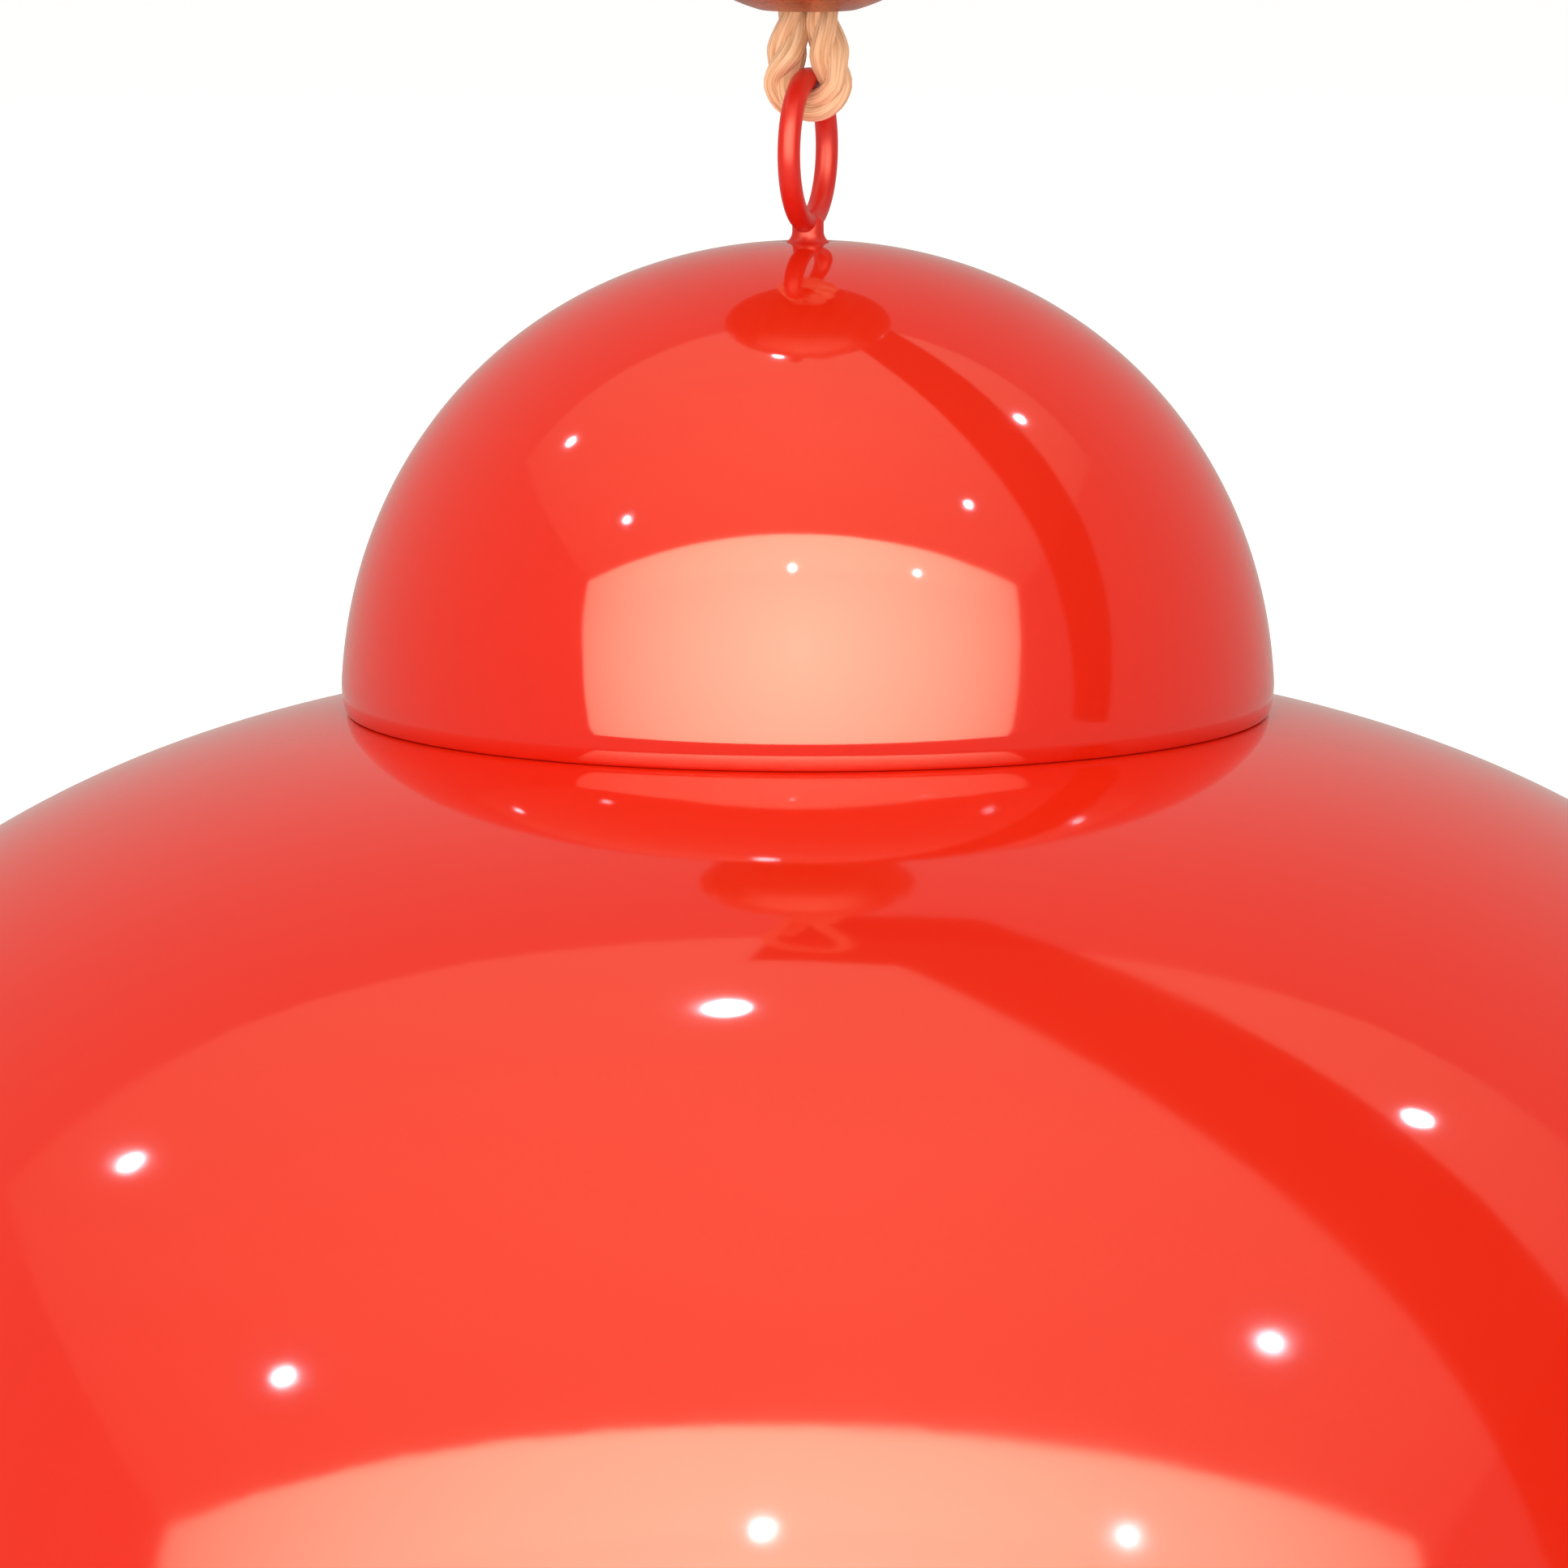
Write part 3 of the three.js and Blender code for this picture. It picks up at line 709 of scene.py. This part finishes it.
tail_reach = high("rope_tail_right")[1]
tail_middle = 0.5 * (knot_top + knot_bottom)
for side, word in ((-1, "left"), (1, "right")):
    tail_path = smooth_path([
        [0, side * 2.5 * mm, tail_middle + 0.5 * mm],
        [0, side * 7.5 * mm, tail_middle + 0.4 * mm],
        [0, side * 0.72 * tail_reach, tail_middle - 1.4 * mm],
        [0, side * (tail_reach - 1.8 * mm), tail_middle - 5.2 * mm],
    ], rope_step)
    to_end = np.linspace(1, 0, len(tail_path)) * path_length(tail_path)
    fan = 1 + 0.55 * np.clip(1 - to_end / (4 * mm), 0, 1) ** 2
    slim = rope_radius * (1 - 0.22 * np.clip(1 - to_end / (4 * mm), 0, 1))
    tail = mesh_from_grids(
        f"rope_tail_{word}_jute", rope_grids(tail_path, slim, [1.0, 0, 0], side, open_end=fan), [jute])
    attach(tail, "hanger")
    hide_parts(f"rope_tail_{word}")
print(f"hanging loop: {1000 * path_length(loop_path):.0f} mm of rope")

# %% [markdown]
# ## Turned wood
#
# A bead is turned on a lathe from a square blank, bored along its axis, and its hole's edges
# are eased so that they don't cut the rope. The profile is the ball's arc, two small arcs at
# the mouths, and the straight bore that closes it.


# %% Bead and ball
def bored_ball_profile(radius, bore, ease, centre, count):
    """Profile of a ball bored along Z, its two mouths eased with a small radius."""
    ease_radius = bore + ease
    ease_height = np.sqrt((radius - ease) ** 2 - ease_radius**2)
    lean = np.degrees(np.arctan2(ease_height, ease_radius))
    ball = arc((0, centre), radius, -lean, lean, count)
    top = arc((ease_radius, centre + ease_height), ease, lean, 180, 10)[1:]
    bottom = arc((ease_radius, centre - ease_height), ease, 180, 360 - lean, 10)[:-1]
    return np.concatenate([ball, top, bottom])


bore_radius = 4.15 * mm
bead_profile = bored_ball_profile(bead_radius, bore_radius, 0.9 * mm, bead_centre, 72)
bead = mesh_from_grids("bead_beech", [turned_grid(bead_profile, 128)], [stained_wood], wrap_rows=True)
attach(bead, "bead")
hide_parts("wooden_bead")

ball_radius = high("clapper_ball")[0]
ball_centre = 0.5 * (high("clapper_ball")[2] + low("clapper_ball")[2])
rod_radius = 2.5 * mm
ball_profile = bored_ball_profile(ball_radius, rod_radius + gap, 0.6 * mm, ball_centre, 84)
ball = mesh_from_grids(
    "clapper_ball_beech", [turned_grid(ball_profile, 128)], [stained_wood], wrap_rows=True)
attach(ball, "clapper")
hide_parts("clapper_ball")
print(f"bead {2000 * bead_radius:.0f} mm, clapper ball {2000 * ball_radius:.0f} mm")

# %% [markdown]
# ## The eye bolt
#
# The eye is a ring of wire closed onto a short stem, and both were dipped with the cap, so the
# paint has run into a small fillet where the stem meets the cap. Below the cap the stem goes on
# as an M4 screw that holds cap, bell and eye nut together. A thread is a surface too: its radius
# rises and falls with height minus the turn, pitch by pitch.


# %% Rings, stems and threads
def ring_grid(radius, wire, height, plane, rows=96, sides=24):
    """A wire ring round (0, 0, height), standing in the XZ or the YZ plane."""
    turn = 2 * np.pi * np.arange(rows)[:, None] / rows
    angle = 2 * np.pi * np.arange(sides)[None] / sides
    reach = radius + wire * np.cos(angle)
    across = wire * np.sin(angle) + 0 * turn
    flat, up = reach * np.cos(turn), height + reach * np.sin(turn)
    return np.stack([across, flat, up] if plane == "YZ" else [flat, -across, up], axis=-1)


def thread_grid(radius, pitch, top, bottom, rows_per_pitch=8, sides=32):
    """A screw: radius minus a V groove of depth 0.3 pitch, followed round at one pitch per turn."""
    height = np.arange(top, bottom, -pitch / rows_per_pitch)[:, None]
    angle = 2 * np.pi * np.arange(sides)[None] / sides
    phase = (height / pitch + angle / (2 * np.pi)) % 1.0
    reach = radius - 0.3 * pitch * np.abs(2 * phase - 1)
    return np.stack([reach * np.cos(angle), reach * np.sin(angle), height + 0 * angle], axis=-1)


shank_radius = 2.0 * mm
shank_end = low("eye_bolt")[2]
eye_foot = eye_centre - eye_radius
neck_radius = 1.75 * mm
fillet = 1.45 * mm
neck = np.concatenate([
    [[0.6 * neck_radius, eye_foot + 0.7 * wire_radius], [neck_radius, eye_foot + 0.1 * wire_radius]],
    arc((neck_radius + fillet, cap_pole + 0.78 * fillet), fillet, 180, 250, 12),
    [[shank_radius, cap_pole - 0.9 * mm]],
    [[shank_radius, cap_pole - 4 * mm]],
])
eye_ring = ring_grid(eye_radius, wire_radius, eye_centre, "YZ")
eye_piece = mesh_from_grids("eye_ring_enamelled", [eye_ring], [satin_enamel], wrap_rows=True)
stem = mesh_from_grids("eye_stem_enamelled", [turned_grid(neck, 48)], [satin_enamel])
screw = mesh_from_grids(
    "eye_screw", [thread_grid(shank_radius, 0.7 * mm, cap_pole - 3.6 * mm, shank_end)], [zinc])
for piece, material_slot in ((eye_piece, "red_enamel"), (stem, "red_enamel"), (screw, "zinc_steel")):
    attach(piece, "bell")
    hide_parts("eye_bolt")
print(f"eye ring {2000 * (eye_radius + wire_radius):.1f} mm over the wire")

# %% [markdown]
# ## Nuts and washers
#
# A washer is stamped, so its edges are slightly rounded on one side. A hexagon nut is a prism
# whose corners are turned off in a cone at both faces: in polar form the hexagon's radius is
# (half flats) / cos(angle from the nearest flat), and the cone caps that radius near the ends.


# %% Nuts and washers
def washer_profile(node, hole):
    """Stamped ring with rounded edges, filling a node's box."""
    bottom, top, outside = low(node)[2], high(node)[2], high(node)[0]
    ease = 0.28 * mm
    corners = [(outside - ease, bottom + ease, -90, 0), (outside - ease, top - ease, 0, 90),
               (hole + ease, top - ease, 90, 180), (hole + ease, bottom + ease, 180, 270)]
    return np.concatenate([arc((r, z), ease, first, last, 5) for r, z, first, last in corners])


def nut_grid(flats, hole, bottom, top, sides=96):
    """Hexagon nut: rows go up the outside, over the chamfer, down the bore and close."""
    angle = 2 * np.pi * np.arange(sides) / sides
    hexagon = 0.5 * flats / np.cos((angle + np.pi / 6) % (np.pi / 3) - np.pi / 6)
    corner = 0.5 * flats / np.cos(np.pi / 6)
    slope = np.tan(np.radians(30))
    rise = np.concatenate([np.linspace(0, 1, 7) ** 1.5 * 0.5 * mm, [0.5 * (top - bottom)]])
    heights = np.concatenate([bottom + rise, (top - rise)[::-1][1:]])
    to_face = np.minimum(heights - bottom, top - heights)
    cone = 0.48 * flats + to_face / slope
    outside = np.minimum(hexagon[None], np.minimum(cone, corner + 1 * mm)[:, None])
    bore = np.array([[hole + 0.35 * mm, top], [hole, top - 0.35 * mm], [hole, bottom + 0.35 * mm],
                     [hole + 0.35 * mm, bottom]])
    radius = np.concatenate([outside, np.broadcast_to(bore[:, :1], (4, sides))])
    height = np.concatenate([heights, bore[:, 1]])[:, None]
    return np.stack([radius * np.cos(angle), radius * np.sin(angle), height + 0 * radius], axis=-1)


def add_fastener(piece, node, body):
    """Rides on the body and stands for the node; edges stay crisp."""
    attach(piece, body)
    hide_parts(node)
    piece.data.set_sharp_from_angle(angle=np.radians(28))
    return piece


bolt_washers = ("cap_washer", "crown_washer")
ball_washers = ("ball_upper_washer", "ball_lower_washer")
for node in bolt_washers + ball_washers:
    hole, body = (shank_hole, "bell") if node in bolt_washers else (rod_radius + gap, "clapper")
    add_fastener(mesh_from_grids(f"{node}_zinc", [turned_grid(washer_profile(node, hole), 96)], [zinc],
                                 wrap_rows=True), node, body)

for node, flats, hole, body in (("cap_nut", 7.0, 2.05, "bell"), ("crown_nut", 7.0, 2.05, "bell"),
                                ("lock_nut", 7.0, 2.05, "bell"), ("ball_upper_nut", 8.0, 2.55, "clapper")):
    grid = nut_grid(flats * mm, hole * mm, low(node)[2], high(node)[2])
    add_fastener(mesh_from_grids(f"{node}_zinc", [grid], [zinc], wrap_rows=True), node, body)

acorn_top, acorn_low = high("acorn_nut")[2], low("acorn_nut")[2]
acorn_base = acorn_low + 4.0 * mm
dome = arc((0, acorn_base), 3.75 * mm, -88, 0, 18)
dome[:, 1] = acorn_base + (dome[:, 1] - acorn_base) * (acorn_base - acorn_low) / (3.75 * mm)
acorn_hex = nut_grid(8.0 * mm, 2.55 * mm, acorn_base, acorn_top)
acorn_dome = turned_grid(np.concatenate([dome, [[3.6 * mm, acorn_base + 0.6 * mm]]]), 48)
acorn_shell = mesh_from_grids("acorn_nut_zinc", [acorn_hex], [zinc], wrap_rows=True)
acorn_end = mesh_from_grids("acorn_nut_dome_zinc", [acorn_dome], [zinc])
add_fastener(acorn_shell, "acorn_nut", "clapper")
add_fastener(acorn_end, "acorn_nut", "clapper")
print("fasteners: 4 nuts, 4 washers and 1 acorn nut")

# %% [markdown]
# ## Eye nut, link and clapper rod
#
# The clapper hangs from three rings that hook into each other, each a quarter turn from the
# last, so that it can swing both ways. The rings of the eye nut and the rod are closed onto
# their stems with a small weld, drawn as a flare at the foot of each ring.

# %% Link and clapper rod
link_wire = 1.5 * mm
boss_radius = high("eye_nut")[1]
boss_top = high("eye_nut")[2]
boss_height = 7.0 * mm
eye_nut_radius = high("eye_nut")[0] - link_wire
eye_nut_centre = low("eye_nut")[2] + link_wire + eye_nut_radius
ease = 0.5 * mm
boss_bottom = boss_top - boss_height
boss_profile = np.concatenate([
    arc((boss_radius - ease, boss_bottom + ease), ease, -60, 0, 6),
    arc((boss_radius - ease, boss_top - ease), ease, 0, 90, 6),
    [[shank_hole, boss_top], [shank_hole, shank_end - gap], [0.05 * mm, shank_end - gap - 0.5 * mm]],
    [[0.05 * mm, boss_bottom - 0.2 * mm], [1.9 * mm, boss_bottom - 0.5 * mm]],
    [[2.5 * mm, boss_bottom - 0.1 * mm]],
])
eye_nut_ring = ring_grid(eye_nut_radius, link_wire, eye_nut_centre, "XZ")
eye_nut_boss = mesh_from_grids("eye_nut_boss_zinc", [turned_grid(boss_profile, 96)], [zinc], wrap_rows=True)
eye_nut_loop = mesh_from_grids("eye_nut_ring_zinc", [eye_nut_ring], [zinc], wrap_rows=True)
add_fastener(eye_nut_boss, "eye_nut", "bell")
add_fastener(eye_nut_loop, "eye_nut", "bell")

link_radius = high("link_ring")[1] - link_wire
link_centre = 0.5 * (high("link_ring")[2] + low("link_ring")[2])
link = mesh_from_grids(
    "link_ring_zinc", [ring_grid(link_radius, link_wire, link_centre, "YZ")], [zinc], wrap_rows=True)
add_fastener(link, "link_ring", "link")

rod_eye_radius = high("clapper_rod")[0] - link_wire
rod_eye_centre = high("clapper_rod")[2] - link_wire - rod_eye_radius
rod_end = low("clapper_rod")[2]
rod_foot = rod_eye_centre - rod_eye_radius
thread_top = high("ball_upper_nut")[2] + 8 * mm
rod_profile = np.concatenate([
    [[1.2 * mm, rod_foot + 0.5 * link_wire], [2.0 * mm, rod_foot], [2.35 * mm, rod_foot - 1.2 * mm]],
    [[rod_radius, rod_foot - 3 * mm], [rod_radius, thread_top + 0.3 * mm]],
    [[rod_radius - 0.3 * mm, thread_top], [rod_radius - 0.35 * mm, thread_top - 2 * mm]],
])
rod_eye = mesh_from_grids(
    "rod_eye_zinc", [ring_grid(rod_eye_radius, link_wire, rod_eye_centre, "XZ")], [zinc], wrap_rows=True)
rod = mesh_from_grids("rod_zinc", [turned_grid(rod_profile, 48)], [zinc])
rod_thread = mesh_from_grids(
    "rod_thread_zinc", [thread_grid(rod_radius, 0.8 * mm, thread_top - 0.2 * mm, rod_end)], [zinc])
for piece in (rod_eye, rod, rod_thread):
    add_fastener(piece, "clapper_rod", "clapper")
clapper_length = link_centre - link_radius - ball_centre
print(f"clapper hangs {1000 * clapper_length:.0f} mm from its pivot to the ball's centre")

# %% [markdown]
# ## Studio
#
# A plain pale floor lies well under the hanging bell. It glows faintly, so that the ground
# behind the bell stays white. It is kept out of the paint's mirror images, because its glow
# would fill the undersides of both domes.

# %% Floor
floor_material, tree = new_material("pale studio floor")
finish_material(tree, add_node(
    tree, "ShaderNodeBsdfPrincipled",
    values={"Base Color": hex_colour("#F6F6F6"), "Roughness": 0.9, "Emission Color": hex_colour("#F4F8FF"),
            "Emission Strength": 0.36}))
floor_drop = 0.22
floor_grid = turned_grid([[40.0, lip_height - floor_drop], [40.0, lip_height - floor_drop - 0.01]], 96)
floor = mesh_from_grids("studio_floor", [floor_grid], [floor_material], flat=True)
floor.visible_glossy = False

# %% [markdown]
# Gloss enamel shows its surroundings, so the lights are chosen for their mirror images. One
# broad warm window behind the viewer fills the lower front of both domes, and is seen only as
# an image. A wide, dim ceiling panel warms the tops, and a soft sky with no image of its own
# does most of the lighting. Seven round lamps make the small sparks.
#
# A black flag, a strip of net on a stand, runs from overhead down to the right. It hides a
# strip of the ceiling and so draws the dark band that shows how round and how glossy the
# domes are. Its upper end is bowed away from the viewer, as cloth hung on a bent rod is.

# %% Lights
bpy.context.scene.view_settings.view_transform = "Standard"
world = bpy.data.worlds.new("studio air")
bpy.context.scene.world = world
world.use_nodes = True
world.node_tree.nodes.clear()
background = add_node(
    world.node_tree, "ShaderNodeBackground", values={"Color": hex_colour("#FFF6EE"), "Strength": 0.54})
add_node(world.node_tree, "ShaderNodeOutputWorld", {"Surface": background.outputs[0]})


def turned_to_view(x, y, z):
    """A direction or place given as (right, away, up) for the viewer, turned into the frame's axes."""
    return x * to_side - y * to_viewer + np.array([0, 0, z])


cap_middle = np.array([0, 0, cap_rim])


def area_light(name, place, size, radiance, colour, shape="RECTANGLE", spread=180.0):
    """An area light that faces the cap; its power is pi times area times radiance."""
    data = bpy.data.lights.new(name, "AREA")
    data.shape = shape
    data.size, data.size_y = size
    data.spread = np.radians(spread)
    area = np.pi / 4 * size[0] ** 2 if shape == "DISK" else size[0] * size[1]
    data.energy = float(np.pi * area * radiance)
    data.color = hex_colour(colour)[:3]
    light = look_from(name, data, cap_middle + turned_to_view(*place), cap_middle)
    light.visible_camera = False
    return light


window = area_light("window", (-0.1, -2.75, 0.95), (8.0, 3.1), 9.0, "#FFD3B2", spread=130.0)
window.visible_diffuse = False
ceiling = area_light("ceiling", (0, -1.2, 5.1), (15.0, 8.4), 0.62, "#FFE0B4", spread=125.0)
sky_data = bpy.data.lights.new("sky", "SUN")
sky_data.energy = 1.2
sky_data.angle = np.radians(80)
sky = look_from("sky", sky_data, cap_middle + turned_to_view(-1.2, -3.5, 2.2), cap_middle)
sky.visible_glossy = False
lamp_places = (
    (-0.40, 1.20), (-4.83, 1.28), (3.96, 1.32), (-4.89, -2.67), (3.98, -2.49), (-0.53, -6.50),
    (3.83, -6.25))
for number, (x, y) in enumerate(lamp_places):
    area_light(f"lamp_{number}", (x, y, 5.2), (0.23, 0.23), 90.0, "#FFF0FF", "DISK")

flag_material, tree = new_material("black net cloth")
finish_material(tree, add_node(
    tree, "ShaderNodeBsdfPrincipled",
    values={"Base Color": hex_colour("#0B0B0C"), "Roughness": 1.0, "Alpha": 0.7}))
flag_distance, flag_half_length, flag_half_width, flag_bow = 3.2, 3.4, 0.42, 1.1
flag_middle = cap_middle + flag_distance * turned_to_view(0.72, -0.07, 0.69)
flag_along = turned_to_view(0.627, -0.361, -0.691)
flag_across = np.cross(flag_along, flag_middle - cap_middle)
flag_across /= np.linalg.norm(flag_across)
along = np.linspace(-1.3, 1, 24)[:, None]
bow = -flag_bow * np.clip(-along, 0, 1) ** 2
flag_line = flag_middle + flag_half_length * along * flag_along + bow * flag_across
flag_side = flag_half_width * flag_across
flag_front = np.concatenate([flag_line - flag_side, flag_line[::-1] + flag_side])
flag_back = flag_front + 0.01 * (flag_middle - cap_middle)
flag = mesh_from_grids("black_flag", [np.stack([flag_front, flag_back])], [flag_material], flat=True)
flag.visible_camera = False
flag.visible_diffuse = False
flag.visible_shadow = False
print(f"lights: a window, a ceiling panel, a soft sky and {len(lamp_places)} lamps")
